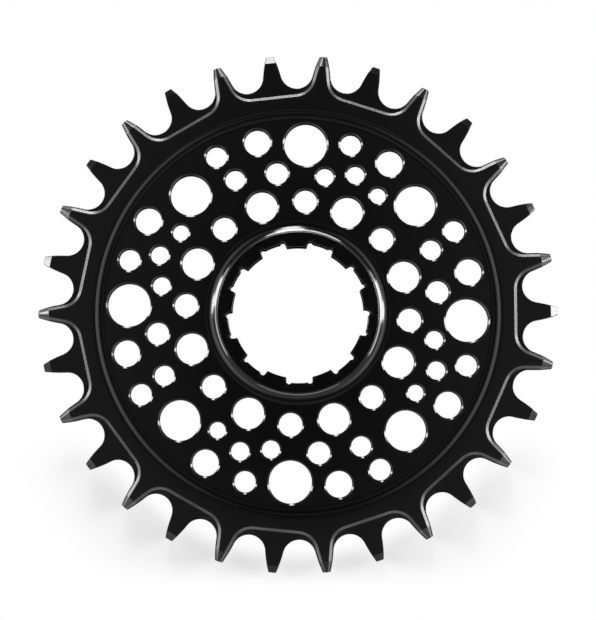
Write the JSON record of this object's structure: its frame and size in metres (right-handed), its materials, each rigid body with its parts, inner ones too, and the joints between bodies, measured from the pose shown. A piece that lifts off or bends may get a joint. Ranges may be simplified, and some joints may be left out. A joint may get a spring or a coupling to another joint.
{
  "type": "single-speed cog",
  "caption": "Flat bicycle sprocket with alternating narrow and wide teeth, a web drilled for lightness and a splined bore that slides onto a hub.",
  "frame": {"origin": "on the wheel axis, in the plane of the boss's inner end face, which is the lowest face", "axes": "+Z along the wheel axis towards the outer side of the cog; +X through the middle of a narrow tooth"},
  "size_m": [0.1302, 0.1298, 0.0057],
  "materials": {
    "anodised_aluminium": "machined aluminium, black anodised, satin"
  },
  "bodies": {
    "root": {"single_speed_cog": "anodised_aluminium"}
  },
  "joints": []
}
